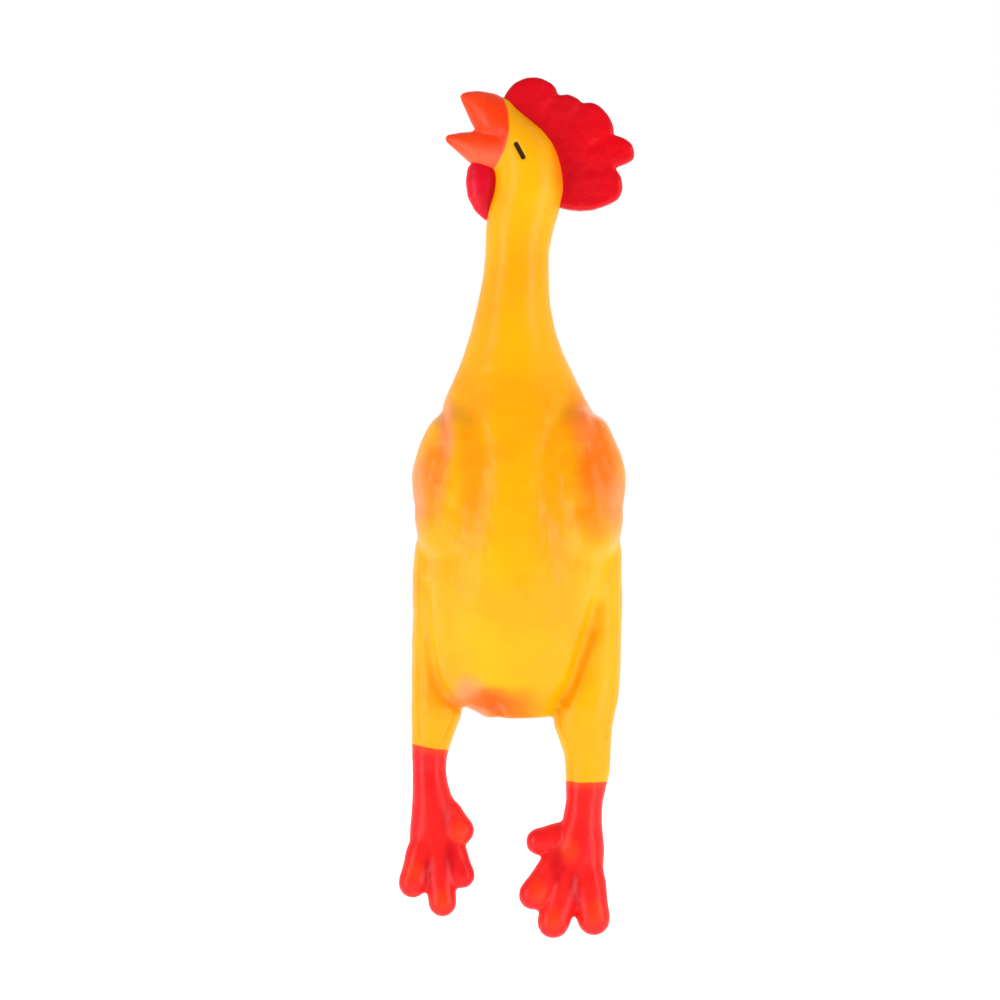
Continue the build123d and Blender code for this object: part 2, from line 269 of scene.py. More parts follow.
grain = 1.2 * mm
wall = 1.6 * mm
core = blended(clay, grain)
core.normal_update()
for vert in core.verts:
    vert.co += vert.normal * wall
master = blended(core, grain)
smooth(master, [v for v in master.verts if v.co.x > -0.008 or v.co.z < 0.06], 4)
smooth(master, master.verts, 2)
smooth(master, [v for v in master.verts if -0.252 < v.co.z < 0.06], 14)
smooth(master, [v for v in master.verts if -0.21 < v.co.z < -0.07], 24)
smooth(master, [v for v in master.verts if -0.1 < v.co.z < -0.065 and abs(v.co.x) > 0.022], 50)

# Strokes of the modelling tool: the path in x and z, its half width, and its depth. A negative
# depth raises a ridge. They are made on the breast side and the flanks.
strokes = [
    ([(-30, -82), (-23, -92), (-19, -106), (-19.5, -122), (-22, -138), (-29, -158)], 5.5, 1.2),
    ([(28, -82), (20, -94), (15, -108), (14.5, -126), (17.5, -142), (28, -162)], 5.5, 1.2),
    ([(-43.5, -84), (-42, -98), (-43.5, -110), (-47, -122)], 3.6, 1.7),
    ([(45, -84), (45.5, -98), (48, -110), (52, -120)], 3.6, 1.3),
    ([(-54, -184), (-52, -214), (-48, -240), (-42.5, -249.5), (-34, -255)], 3.0, 1.8),
    ([(45, -196), (38, -222), (32.5, -240), (27, -251)], 3.6, 1.6),
    ([(-32, -166), (-42, -170), (-51, -168)], 5, 1.0),
    ([(31, -168), (42, -171), (51, -169)], 5, 1.0),
    ([(-22, -246), (-15, -251), (-11, -258)], 3.4, 2.4),
    ([(-26, -243), (-20, -250), (-17, -257)], 1.6, -0.9),
    ([(-9, -243), (-9, -250), (-6, -258)], 2.0, -0.8),
]
feathers = [(sign, z) for sign in (-1, 1) for z in (-118, -131, -144)]
for sign, z in feathers:
    strokes.append(([(sign * 58, z + 6), (sign * 46, z), (sign * 34, z - 12)], 3.0, 0.22))
strokes = [([Vector((x, z)) for x, z in path], width, depth) for path, width, depth in strokes]
eye_ends = Vector((-0.8, 71.8)), Vector((3.2, 64.0))
beak_arc = Vector((-44.6, 83.8)), 39.8  # where the painted beak ends: centre and radius


def away(spot, path):
    """The distance of a spot from a path."""
    nearest = []
    for start, end in zip(path, path[1:]):
        foot, share = intersect_point_line(spot, start, end)
        foot = foot if 0 <= share <= 1 else (start if share < 0 else end)
        nearest.append((spot - Vector(foot[:2])).length)
    return min(nearest)


def pressed(place):
    """How far the skin is pressed in at a place, in millimetres."""
    spot = Vector((place.x, place.z))
    deep = 0.0
    for path, width, depth in strokes:
        highest = max(point.y for point in path) + 3 * width
        lowest = min(point.y for point in path) - 3 * width
        if lowest < spot.y < highest and place.y < 12:
            deep += depth * math.exp(-((away(spot, path) / width) ** 2))
    if 55 < place.z < 80 and abs(place.y) > 6:
        deep += 0.8 * step(away(spot, eye_ends), 2.4, 1.0)
    if place.z > 50 and place.x < 0:
        deep += 0.35 * math.exp(-(((spot - beak_arc[0]).length - beak_arc[1]) / 1.2) ** 2)
    body = step(place.z, -268, -250) * step(place.z, -40, -70)
    deep += 0.5 * body * noise.noise(place / 16)
    deep += 0.3 * body * noise.noise(Vector((place.x / 3.2, place.y / 3.2, place.z / 9)))
    deep += 0.16 * step(place.z, -240, -290) * noise.noise(place / 4)
    deep += 0.3 * noise.noise(place / 26)
    return deep


master.normal_update()
pushes = [pressed(vert.co / mm) * mm for vert in master.verts]
for vert, push in zip(master.verts, pushes):
    vert.co -= vert.normal * push
smooth(master, master.verts, 1)

# ---------------------------------------------------------------- latex and its paints
# The skin is yellow latex with a soft shine. Its pores, streaks and faint cloudiness are
# one effect, and each spray of paint is a soft-edged oval in a second one.


def add(tree, kind, feeds, **settings):
    """A node with its settings. Feeds are numbers or sockets, by input."""
    made = tree.nodes.new(kind)
    for name, value in settings.items():
        setattr(made, name, value)
    for name, value in feeds.items():
        if isinstance(value, bpy.types.NodeSocket):
            tree.links.new(value, made.inputs[name])
        else:
            made.inputs[name].default_value = value
    return made


def tint(tree, mask, under, over):
    """A colour laid over another through a mask."""
    mix = add(tree, "ShaderNodeMix", {0: mask}, data_type="RGBA")
    for index, colour in ((6, under), (7, over)):
        if isinstance(colour, bpy.types.NodeSocket):
            tree.links.new(colour, mix.inputs[index])
        else:
            mix.inputs[index].default_value = (*colour, 1)
    return mix.outputs[2]


def effect(name, inputs, outputs):
    """An empty shader node group. Returns its tree, its input sockets and its output node."""
    tree = bpy.data.node_groups.new(name, "ShaderNodeTree")
    for socket, kind, value in inputs:
        made = tree.interface.new_socket(socket, in_out="INPUT", socket_type=kind)
        made.default_value = value
    for socket, kind in outputs:
        tree.interface.new_socket(socket, in_out="OUTPUT", socket_type=kind)
    return tree, tree.nodes.new("NodeGroupInput").outputs, tree.nodes.new("NodeGroupOutput")


relief, given, out = effect(
    "latex_relief",
    [("Pores", "NodeSocketFloat", 0.5), ("Streaks", "NodeSocketFloat", 0.5)],
    [("Height", "NodeSocketFloat"), ("Cloud", "NodeSocketFloat"), ("Rough", "NodeSocketFloat")],
)
here = add(relief, "ShaderNodeTexCoord", {}).outputs["Object"]
pores = add(relief, "ShaderNodeTexVoronoi", {"Vector": here, "Scale": 420, "Randomness": 1})
pore_depth = add(
    relief, "ShaderNodeMapRange", {0: pores.outputs["Distance"], 1: 0.0, 2: 0.35, 3: 0.0, 4: 1.0}
)
pore_share = add(
    relief, "ShaderNodeMath", {0: pore_depth.outputs[0], 1: given["Pores"]}, operation="MULTIPLY"
)
stretched = add(relief, "ShaderNodeMapping", {"Vector": here, "Scale": (1.0, 1.0, 0.16)})
streaks = add(
    relief, "ShaderNodeTexNoise", {"Vector": stretched.outputs[0], "Scale": 330, "Detail": 3}
)
streak_share = add(
    relief, "ShaderNodeMath", {0: streaks.outputs[0], 1: given["Streaks"]}, operation="MULTIPLY"
)
grainy = add(relief, "ShaderNodeTexNoise", {"Vector": here, "Scale": 150, "Detail": 4})
sum_one = add(relief, "ShaderNodeMath", {0: pore_share.outputs[0], 1: streak_share.outputs[0]})
sum_two = add(relief, "ShaderNodeMath", {0: sum_one.outputs[0], 1: grainy.outputs[0]})
relief.links.new(sum_two.outputs[0], out.inputs["Height"])
cloud = add(relief, "ShaderNodeTexNoise", {"Vector": here, "Scale": 22, "Detail": 3})
relief.links.new(cloud.outputs[0], out.inputs["Cloud"])
smears = add(relief, "ShaderNodeTexNoise", {"Vector": here, "Scale": 60, "Detail": 5})
rough = add(relief, "ShaderNodeMapRange", {0: smears.outputs[0], 1: 0.3, 2: 0.7, 3: 0.3, 4: 0.44})
relief.links.new(rough.outputs[0], out.inputs["Rough"])

spray, given, out = effect(
    "spray_of_paint",
    [
        ("Centre", "NodeSocketVector", (0, 0, 0)),
        ("Reach", "NodeSocketVector", (0.01, 0.01, 0.01)),
        ("Strength", "NodeSocketFloat", 1.0),
    ],
    [("Mask", "NodeSocketFloat")],
)
here = add(spray, "ShaderNodeTexCoord", {}).outputs["Object"]
offset = add(spray, "ShaderNodeVectorMath", {0: here, 1: given["Centre"]}, operation="SUBTRACT")
scaled = add(
    spray, "ShaderNodeVectorMath", {0: offset.outputs[0], 1: given["Reach"]}, operation="DIVIDE"
)
length = add(spray, "ShaderNodeVectorMath", {0: scaled.outputs[0]}, operation="LENGTH")
drift = add(spray, "ShaderNodeTexNoise", {"Vector": here, "Scale": 70, "Detail": 4})
wavy = add(
    spray, "ShaderNodeMath", {0: drift.outputs[0], 1: 0.6, 2: -0.3}, operation="MULTIPLY_ADD"
)
uneven = add(spray, "ShaderNodeMath", {0: length.outputs["Value"], 1: wavy.outputs[0]})
soft = add(
    spray,
    "ShaderNodeMapRange",
    {0: uneven.outputs[0], 1: 0.25, 2: 1.2, 3: 1.0, 4: 0.0},
    interpolation_type="SMOOTHSTEP",
)
mask = add(
    spray, "ShaderNodeMath", {0: soft.outputs[0], 1: given["Strength"]}, operation="MULTIPLY"
)
spray.links.new(mask.outputs[0], out.inputs["Mask"])


def latex(name, pores=0.4, streaks=0.4, bump=0.5):
    """A latex material without its colour. Returns it with its tree and relief."""
    material = bpy.data.materials.new(name)
    material.use_nodes = True
    tree = material.node_tree
    shader = tree.nodes["Principled BSDF"]
    group = add(tree, "ShaderNodeGroup", {}, node_tree=relief)
    group.inputs["Pores"].default_value = pores
    group.inputs["Streaks"].default_value = streaks
    raised = add(tree, "ShaderNodeBump", {"Height": group.outputs["Height"]})
    raised.inputs["Strength"].default_value = bump
    raised.inputs["Distance"].default_value = 0.45 * mm
    tree.links.new(raised.outputs[0], shader.inputs["Normal"])
    tree.links.new(group.outputs["Rough"], shader.inputs["Roughness"])
    shader.inputs["Specular IOR Level"].default_value = 0.17
    shader.inputs["Coat Weight"].default_value = 0.06
    shader.inputs["Coat Roughness"].default_value = 0.16
    return material, tree, group, shader


def sprayed(tree, centre, reach, strength):
    """The mask of one spray of paint, in millimetres."""
    group = add(tree, "ShaderNodeGroup", {}, node_tree=spray)
    group.inputs["Centre"].default_value = Vector(centre) * mm
    group.inputs["Reach"].default_value = Vector(reach) * mm
    group.inputs["Strength"].default_value = strength
    return group.outputs["Mask"]


yellow = (0.97, 0.44, 0.0)
deep_yellow = (0.95, 0.365, 0.0)
orange = (1.0, 0.17, 0.006)
peach = (1.0, 0.27, 0.10)
wing_orange = (1.0, 0.17, 0.0)
vent_orange = (1.0, 0.12, 0.0)


def yellow_ground(tree, group):
    """The colour of the bare latex, a little cloudy."""
    cloudy = add(
        tree, "ShaderNodeMapRange", {0: group.outputs["Cloud"], 1: 0.35, 2: 0.65, 3: 0.0, 4: 1.0}
    )
    return tint(tree, cloudy.outputs[0], yellow, deep_yellow)


body_latex, tree, group, shader = latex("yellow_latex", 0.3, 0.6, 0.55)
colour = yellow_ground(tree, group)
body_sprays = [
    ((-28, -18, -248), (13, 60, 13), 0.95, peach),
    ((-8, -18, -254), (26, 60, 14), 0.8, vent_orange),
    ((-15, -18, -252), (14, 60, 11), 0.9, vent_orange),
    ((-41, -26, -96), (6.5, 60, 26), 0.8, peach),
    ((-49, -24, -122), (13, 60, 30), 0.75, orange),
    ((41, -26, -95), (10, 60, 26), 0.75, peach),
    ((46, -28, -120), (20, 70, 42), 1.0, wing_orange),
    ((-26, -40, -118), (12, 60, 46), 0.4, wing_orange),
    ((20, -42, -136), (12, 60, 50), 0.3, wing_orange),
    ((33, -26, -84), (10, 60, 20), 0.45, wing_orange),
    ((-46, -10, -250), (12, 40, 20), 0.3, wing_orange),
]
for centre, reach, strength, paint in body_sprays:
    colour = tint(tree, sprayed(tree, centre, reach, strength), colour, paint)
# The line where the halves of the mould met is painted as a thin darker line along the flanks, low
# down: painted shade that stands in for the slight ridge of the seam.
here = add(tree, "ShaderNodeTexCoord", {}).outputs["Object"]
axes = add(tree, "ShaderNodeSeparateXYZ", {0: here})
beside = add(tree, "ShaderNodeMath", {0: axes.outputs["Y"], 1: 9.6 * mm})
beside = add(tree, "ShaderNodeMath", {0: beside.outputs[0]}, operation="ABSOLUTE")
line = add(
    tree, "ShaderNodeMapRange", {0: beside.outputs[0], 1: 0.2 * mm, 2: 0.6 * mm, 3: 0.5, 4: 0.0}
)
low_down = add(
    tree, "ShaderNodeMapRange", {0: axes.outputs["Z"], 1: -0.16, 2: -0.18, 3: 0.0, 4: 1.0}
)
shown = add(
    tree, "ShaderNodeMath", {0: line.outputs[0], 1: low_down.outputs[0]}, operation="MULTIPLY"
)
colour = tint(tree, shown.outputs[0], colour, (0.55, 0.25, 0.0))
tree.links.new(colour, shader.inputs["Base Color"])

wing_latex, tree, group, shader = latex("airbrushed_wing_latex", 0.3, 0.5, 0.5)
colour = yellow_ground(tree, group)
wing_sprays = body_sprays[3:10] + [
    ((-58, -10, -133), (8, 60, 30), 0.8, peach),
    ((57, -12, -138), (9, 60, 26), 0.65, peach),
    ((-56, 12, -122), (10, 24, 32), 0.7, orange),
    ((56, 12, -122), (10, 24, 32), 0.7, orange),
]
for centre, reach, strength, paint in wing_sprays:
    colour = tint(tree, sprayed(tree, centre, reach, strength), colour, paint)
tree.links.new(colour, shader.inputs["Base Color"])

# ---------------------------------------------------------------- parting of the skin
# The master is divided into zones where the latex bends. Every zone is given its wall, and keeps
# the shine of the whole skin at its ends.


def score(form, place, normal, where):
    """Cuts an edge into the skin along a plane, in the area that the test says."""
    faces = [face for face in form.faces if where(face.calc_center_median() / mm)]
    verts = {vert for face in faces for vert in face.verts}
    edges = {edge for face in faces for edge in face.edges}
    bmesh.ops.bisect_plane(
        form,
        geom=faces + list(edges) + list(verts),
        plane_co=Vector(place) * mm,
        plane_no=normal,
        dist=0.02 * mm,
    )


def flat(height, where=lambda c: True):
    """A level cut."""
    score(master, (0, 0, height), (0, 0, 1), lambda c: abs(c.z - height) < 4 and where(c))


wing_side, wing_top, wing_foot = 26, -84, -168
thigh_side, thigh_top, thigh_foot = 44, -172, -255
breast_face, breast_foot = -28, -252
throat_top, body_top = 29, -61
beak_root, mouth_line, chin = -18.5, 81.5, 55
# Between these sides, and down to its bottom, the skin below the thighs is still belly.
belly_left, belly_right, belly_bottom = -28, 22.5, -268
# Where each leg's zones end: the hip's bend at both ends, then the ankle's.
leg_cuts = {"left": (thigh_foot, -275, -289, -305), "right": (thigh_foot, -275, -305, -321)}
for height in (throat_top, 9, -9, -33, -37, body_top):
    flat(height)
for height in (wing_top, wing_foot):
    flat(height, lambda c: abs(c.x) > wing_side - 3)
flat(thigh_top, lambda c: abs(c.x) > thigh_side - 3)
for height in leg_cuts["left"][:2]:
    flat(height, lambda c: not belly_left < c.x < belly_right)
for height in leg_cuts["left"][2:]:
    flat(height, lambda c: c.x < 0)
for height in leg_cuts["right"][2:]:
    flat(height, lambda c: c.x > 0)
for sign in (-1, 1):
    side = Vector((1, 0, 0))
    score(
        master, (sign * wing_side, 0, 0), side,
        lambda c: abs(c.x - sign * wing_side) < 4 and wing_foot - 3 < c.z < wing_top + 3,
    )
    score(
        master, (sign * thigh_side, 0, 0), side,
        lambda c: abs(c.x - sign * thigh_side) < 4 and thigh_foot - 3 < c.z < thigh_top + 3,
    )
score(
    master, (0, breast_face, 0), (0, 1, 0),
    lambda c: abs(c.y - breast_face) < 4 and breast_foot < c.z < body_top,
)
score(
    master, (beak_root, 0, 0), (1, 0, 0),
    lambda c: abs(c.x - beak_root) < 4 and c.z > chin,
)
flat(mouth_line, lambda c: c.x < beak_root + 3.5)

master.normal_update()
shine = master.verts.layers.float_vector.new("shine")
for vert in master.verts:
    vert[shine] = vert.normal


def take(where):
    """Takes the zone that the test says out of the master."""
    inside = [where(face.calc_center_median() / mm) for face in master.faces]
    zone = master.copy()
    leave = [face for face, keep in zip(zone.faces, inside) if not keep]
    taken = [face for face, keep in zip(master.faces, inside) if keep]
    bmesh.ops.delete(zone, geom=leave, context="FACES")
    bmesh.ops.delete(master, geom=taken, context="FACES")
    return zone


def skin_piece(name, zone, material):
    """Makes a zone of the skin an object with a wall."""
    made = bmesh.ops.solidify(zone, geom=zone.faces[:], thickness=wall)
    inner = {part for part in made["geom"] if isinstance(part, bmesh.types.BMVert)}
    bmesh.ops.recalc_face_normals(zone, faces=zone.faces)
    layer = zone.verts.layers.float_vector["shine"]
    normals = [-vert[layer] if vert in inner else vert[layer].copy() for vert in zone.verts]
    zone.verts.layers.float_vector.remove(layer)
    mesh = bpy.data.meshes.new(name)
    zone.to_mesh(mesh)
    zone.free()
    mesh.polygons.foreach_set("use_smooth", [True] * len(mesh.polygons))
    mesh.normals_split_custom_set_from_vertices(normals)
    mesh.materials.append(material)
    piece = bpy.data.objects.new(name, mesh)
    bpy.context.scene.collection.objects.link(piece)
    return piece


def in_breast(c):
    return c.y < breast_face and breast_foot < c.z < body_top


def in_wing(c):
    return abs(c.x) > wing_side and wing_foot < c.z < wing_top


def in_thigh(c):
    return abs(c.x) > thigh_side and thigh_foot < c.z < thigh_top


def in_leg(c):
    beside_belly = c.z < thigh_foot and not belly_left < c.x < belly_right
    return c.z < belly_bottom or beside_belly


# ---------------------------------------------------------------- body
# The hollow body with its wings and thighs. The breast gives when it is squeezed, and the
# vent is open at the bottom for the squeaker.
vent_hole = 11.05
vent_lip = -254 * mm
torso_zone = take(
    lambda c: c.z < body_top and not (in_wing(c) or in_thigh(c) or in_leg(c) or in_breast(c))
)
plug = [
    face
    for face in torso_zone.faces
    if face.calc_center_median().z < vent_lip
    and face.calc_center_median().xy.length < vent_hole * mm
]
bmesh.ops.delete(torso_zone, geom=plug, context="FACES")
for vert in torso_zone.verts:
    if vert.is_boundary and vert.co.z < vent_lip and vert.co.xy.length < 1.2 * vent_hole * mm:
        vert.co.xy = vert.co.xy.normalized() * vent_hole * mm
torso = skin_piece("moulded_torso", torso_zone, body_latex)
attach(torso, "torso")
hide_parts("torso_skin")

breast = skin_piece("moulded_breast", take(lambda c: in_breast(c) and not in_wing(c)), body_latex)
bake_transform(breast)
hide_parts("breast_pad", "breast_rim")

for sign, side in ((-1, "left"), (1, "right")):
    zone = take(lambda c: in_wing(c) and c.x * sign > 0)
    wing = skin_piece(f"folded_wing_{side}", zone, wing_latex)
    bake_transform(wing)
    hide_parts(f"wing_{side}")
    zone = take(lambda c: in_thigh(c) and c.x * sign > 0)
    thigh = skin_piece(f"moulded_thigh_{side}", zone, body_latex)
    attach(thigh, "torso")
    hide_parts(f"thigh_{side}")

# ---------------------------------------------------------------- neck
# A bare tube between body and head. The hand holds its middle, and it bends above and
# below, in folds of the same skin.
neck_parts = [
    ("neck_bend_low", -61, -37, "neck_lower", "torso", "neck_fold_flex"),
    ("neck_ring", -37, -33, "neck_lower", None, "neck_band"),
    ("neck_bend", -33, -9, "neck", "neck_lower", "neck_sway_flex"),
    ("neck_hold", -9, 9, "neck", None, "neck_grip"),
    ("throat_bend", 9, 29, "neck", "head", "throat_flex"),
]
for name, low, high, body, other, node in neck_parts:
    piece = skin_piece(name, take(lambda c: low < c.z < high), body_latex)
    if other == "head":
        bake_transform(piece)
    elif other:
        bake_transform(piece)
    else:
        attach(piece, body)
    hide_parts(node)

# ---------------------------------------------------------------- head and beak
# The face is bare latex. The beak is brushed orange-red up to a round edge, salmon below,
# and each eye is a short slanting slit of dark brown paint.
upper_red = (1.0, 0.045, 0.003)
lower_salmon = (1.0, 0.115, 0.05)
eye_brown = (0.04, 0.013, 0.001)
comb_rub = (1.0, 0.13, 0.0)

beak_paint, given, out = effect(
    "beak_brushwork", [], [("Edge", "NodeSocketFloat"), ("Color", "NodeSocketColor")]
)
here = add(beak_paint, "ShaderNodeTexCoord", {}).outputs["Object"]
flat_here = add(
    beak_paint, "ShaderNodeVectorMath", {0: here, 1: (1, 0, 1)}, operation="MULTIPLY"
)
centre = (beak_arc[0].x * mm, 0, beak_arc[0].y * mm)
radial = add(
    beak_paint, "ShaderNodeVectorMath", {0: flat_here.outputs[0], 1: centre}, operation="DISTANCE"
)
wobble = add(beak_paint, "ShaderNodeTexNoise", {"Vector": here, "Scale": 120, "Detail": 2})
uneven = add(
    beak_paint, "ShaderNodeMath", {0: wobble.outputs[0], 1: 0.0016, 2: radial.outputs["Value"]},
    operation="MULTIPLY_ADD",
)
radius = (beak_arc[1] + 0.8) * mm
edge = add(
    beak_paint, "ShaderNodeMapRange",
    {0: uneven.outputs[0], 1: radius - 0.0007, 2: radius + 0.0007, 3: 1.0, 4: 0.0},
    interpolation_type="SMOOTHSTEP",
)
beak_paint.links.new(edge.outputs[0], out.inputs["Edge"])
height = add(beak_paint, "ShaderNodeSeparateXYZ", {0: here}).outputs["Z"]
below = add(
    beak_paint, "ShaderNodeMapRange", {0: height, 1: 0.077, 2: 0.063, 3: 0.0, 4: 1.0},
    interpolation_type="SMOOTHSTEP",
)
colour = tint(beak_paint, below.outputs[0], upper_red, lower_salmon)
beak_paint.links.new(colour, out.inputs["Color"])

eye_slit, given, out = effect("eye_slit", [], [("Mask", "NodeSocketFloat")])
here = add(eye_slit, "ShaderNodeTexCoord", {}).outputs["Object"]
eye_middle = (eye_ends[0] + eye_ends[1]) / 2
eye_reach = eye_ends[0] - eye_ends[1]
lean = math.atan2(eye_reach.x, eye_reach.y)
moved = add(
    eye_slit, "ShaderNodeVectorMath", {0: here, 1: (eye_middle.x * mm, 0, eye_middle.y * mm)},
    operation="SUBTRACT",
)
turned = add(
    eye_slit, "ShaderNodeVectorRotate", {"Vector": moved.outputs[0], "Angle": -lean},
    rotation_type="Y_AXIS",
)
axes = add(eye_slit, "ShaderNodeSeparateXYZ", {0: turned.outputs[0]})
upright = add(eye_slit, "ShaderNodeMath", {0: axes.outputs["Z"]}, operation="ABSOLUTE")
beyond = add(
    eye_slit, "ShaderNodeMath", {0: upright.outputs[0], 1: eye_reach.length / 2 * mm},
    operation="SUBTRACT",
)
ended = add(eye_slit, "ShaderNodeMath", {0: beyond.outputs[0], 1: 0.0}, operation="MAXIMUM")
joined = add(eye_slit, "ShaderNodeCombineXYZ", {0: axes.outputs["X"], 1: ended.outputs[0]})
distance = add(eye_slit, "ShaderNodeVectorMath", {0: joined.outputs[0]}, operation="LENGTH")
slit = add(
    eye_slit, "ShaderNodeMapRange",
    {0: distance.outputs["Value"], 1: 0.0012, 2: 0.0017, 3: 1.0, 4: 0.0},
    interpolation_type="SMOOTHSTEP",
)
eye_slit.links.new(slit.outputs[0], out.inputs["Mask"])

face_latex, tree, group, shader = latex("painted_face_latex", 0.15, 0.2, 0.35)
colour = yellow_ground(tree, group)
colour = tint(tree, sprayed(tree, (24, 0, 62), (6, 30, 34), 0.5), colour, comb_rub)
brush = add(tree, "ShaderNodeGroup", {}, node_tree=beak_paint)
colour = tint(tree, brush.outputs["Edge"], colour, brush.outputs["Color"])
eye = add(tree, "ShaderNodeGroup", {}, node_tree=eye_slit)
colour = tint(tree, eye.outputs["Mask"], colour, eye_brown)
tree.links.new(colour, shader.inputs["Base Color"])

beak_latex, tree, group, shader = latex("painted_beak_latex", 0.1, 0.2, 0.3)
brush = add(tree, "ShaderNodeGroup", {}, node_tree=beak_paint)
cloudy = add(
    tree, "ShaderNodeMapRange", {0: group.outputs["Cloud"], 1: 0.3, 2: 0.7, 3: 0.0, 4: 0.25}
)
colour = tint(tree, cloudy.outputs[0], brush.outputs["Color"], (1.0, 0.1, 0.01))
tree.links.new(colour, shader.inputs["Base Color"])

zone = take(lambda c: c.x < beak_root and c.z > mouth_line)
upper = skin_piece("gaping_beak_upper", zone, beak_latex)
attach(upper, "head")
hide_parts("beak_upper")
zone = take(lambda c: c.x < beak_root and chin < c.z < mouth_line)
lower = skin_piece("gaping_beak_lower", zone, beak_latex)
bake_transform(lower)
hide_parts("beak_lower", "jaw_flex")
head = skin_piece("moulded_head", take(lambda c: c.z > throat_top), face_latex)
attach(head, "head")
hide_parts("head_skin")

# ---------------------------------------------------------------- legs and feet
# The legs hang free below the vent. Each foot and shank is dipped in red paint, up to a
# clean edge that the dip leaves: aslant on the left leg, level on the right.
dip_red = (0.90, 0.016, 0.012)
deep_red = (0.72, 0.004, 0.012)
dips = {"left": ((-51, 0, -279.3), -0.19), "right": ((41, 0, -299.5), 0.0)}
# Painted shade: darker red spots laid where the creases between the toes fall into shade.
painted_crease_shade = {
    "left": [(-52.5, -14, -352), (-39.5, -14, -344), (-42, -6, -322)],
    "right": [(33, -16, -362), (22, -12, -352), (26, -6, -343)],
}
# Painted highlights: lighter orange-red spots on the toe tips, where the light catches them.
painted_toe_highlights = {
    "left": [(-61, -20, -350), (-44, -24, -366), (-34, -12, -328)],
    "right": [(45, -20, -374), (20, -24, -377), (12, -18, -362), (30, -14, -338)],
}
for side, sign in (("left", -1), ("right", 1)):
    dipped, tree, group, shader = latex(f"dipped_latex_{side}", 0.25, 0.35, 0.5)
    here = add(tree, "ShaderNodeTexCoord", {}).outputs["Object"]
    axes = add(tree, "ShaderNodeSeparateXYZ", {0: here})
    place, slope = dips[side]
    drift = add(tree, "ShaderNodeTexNoise", {"Vector": here, "Scale": 90, "Detail": 1})
    level = add(
        tree, "ShaderNodeMath", {0: axes.outputs["X"], 1: -slope, 2: axes.outputs["Z"]},
        operation="MULTIPLY_ADD",
    )
    wavy = add(
        tree, "ShaderNodeMath", {0: drift.outputs[0], 1: 0.0016, 2: level.outputs[0]},
        operation="MULTIPLY_ADD",
    )
    line = (place[2] - slope * place[0] + 0.8) * mm
    edge = add(
        tree, "ShaderNodeMapRange",
        {0: wavy.outputs[0], 1: line - 0.0005, 2: line + 0.0005, 3: 1.0, 4: 0.0},
        interpolation_type="SMOOTHSTEP",
    )
    rim = add(
        tree, "ShaderNodeMapRange",
        {0: wavy.outputs[0], 1: line - 0.006, 2: line, 3: 0.0, 4: 0.55},
        interpolation_type="SMOOTHSTEP",
    )
    cloudy = add(
        tree, "ShaderNodeMapRange", {0: group.outputs["Cloud"], 1: 0.38, 2: 0.62, 3: 0.0, 4: 0.6}
    )
    red = tint(tree, cloudy.outputs[0], dip_red, deep_red)
    # Painted shade: darker red in the creases between the toes.
    for centre in painted_crease_shade[side]:
        red = tint(tree, sprayed(tree, centre, (5, 14, 14), 0.75), red, (0.55, 0.0, 0.008))
    # Painted highlights on the toe tips.
    for centre in painted_toe_highlights[side]:
        red = tint(tree, sprayed(tree, centre, (7, 12, 9), 0.55), red, (1.0, 0.06, 0.004))
    red = tint(tree, rim.outputs[0], red, (1.0, 0.075, 0.0))
    colour = tint(tree, edge.outputs[0], yellow_ground(tree, group), red)
    tree.links.new(colour, shader.inputs["Base Color"])

    top, hip_end, ankle_start, ankle_end = leg_cuts[side]
    zone = take(lambda c: c.x * sign > 0 and hip_end < c.z < top)
    hip = skin_piece(f"hip_bend_{side}", zone, body_latex)
    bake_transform(hip)
    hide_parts(f"hip_flex_{side}")
    zone = take(lambda c: c.x * sign > 0 and ankle_start < c.z < hip_end)
    leg = skin_piece(f"dipped_leg_{side}", zone, dipped)
    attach(leg, f"leg_{side}")
    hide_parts(f"leg_{side}", f"shank_{side}")
    zone = take(lambda c: c.x * sign > 0 and ankle_end < c.z < ankle_start)
    ankle = skin_piece(f"ankle_bend_{side}", zone, dipped)
    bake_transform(ankle)
    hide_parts(f"ankle_flex_{side}")
    zone = take(lambda c: c.x * sign > 0 and c.z < ankle_end)
    foot = skin_piece(f"dipped_foot_{side}", zone, dipped)
    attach(foot, f"foot_{side}")
    toes = [f"toe_{which}_{side}" for which in ("outer", "middle", "inner", "back")]
    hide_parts(f"foot_{side}", *toes)
master.free()

# ---------------------------------------------------------------- comb and wattle
# The comb is a thick flat fin of red latex with rounded lobes, over the back of the head.
# The wattle is a soft red drop under the beak. Both are fixed along their roots.
scallops = [
    ((-8, 99.5), (6, 112.2), 2.6),
    ((6, 112.2), (19.5, 109), 1.4),
    ((19.5, 109), (23.5, 102), 0.9),
    ((23.5, 102), (38, 97.6), 2.2),
    ((38, 97.6), (47.5, 95.6), 1.2),
    ((47.5, 95.6), (56, 79), 2.6),
    ((56, 79), (67, 73), 0.9),
    ((67, 73), (67.4, 64.5), 1.0),
    ((67.4, 64.5), (56.4, 60), 0.2),
    ((56.4, 60), (59.5, 42.5), 3.0),
    ((59.5, 42.5), (25.5, 37), 4.2),
]
buried_edge = [(10, 40), (8, 60), (0, 76), (-8, 88)]
outline = []
for start, end, bulge in scallops:
    start, end = Vector(start), Vector(end)
    outward = Vector((-(end - start).y, (end - start).x)).normalized()
    for turn in range(6):
        share = turn / 6
        rise = bulge * math.sin(math.pi * share) ** 0.8
        outline.append(start.lerp(end, share) + outward * rise)
outline += [Vector((25.5, 37))] + [Vector(point) for point in buried_edge]
fin = bmesh.new()
comb_half = 4.2
base = [fin.verts.new((spot.x * mm, -comb_half * mm, spot.y * mm)) for spot in outline]
sheet = fin.faces.new(base)
swept = bmesh.ops.extrude_face_region(fin, geom=[sheet])
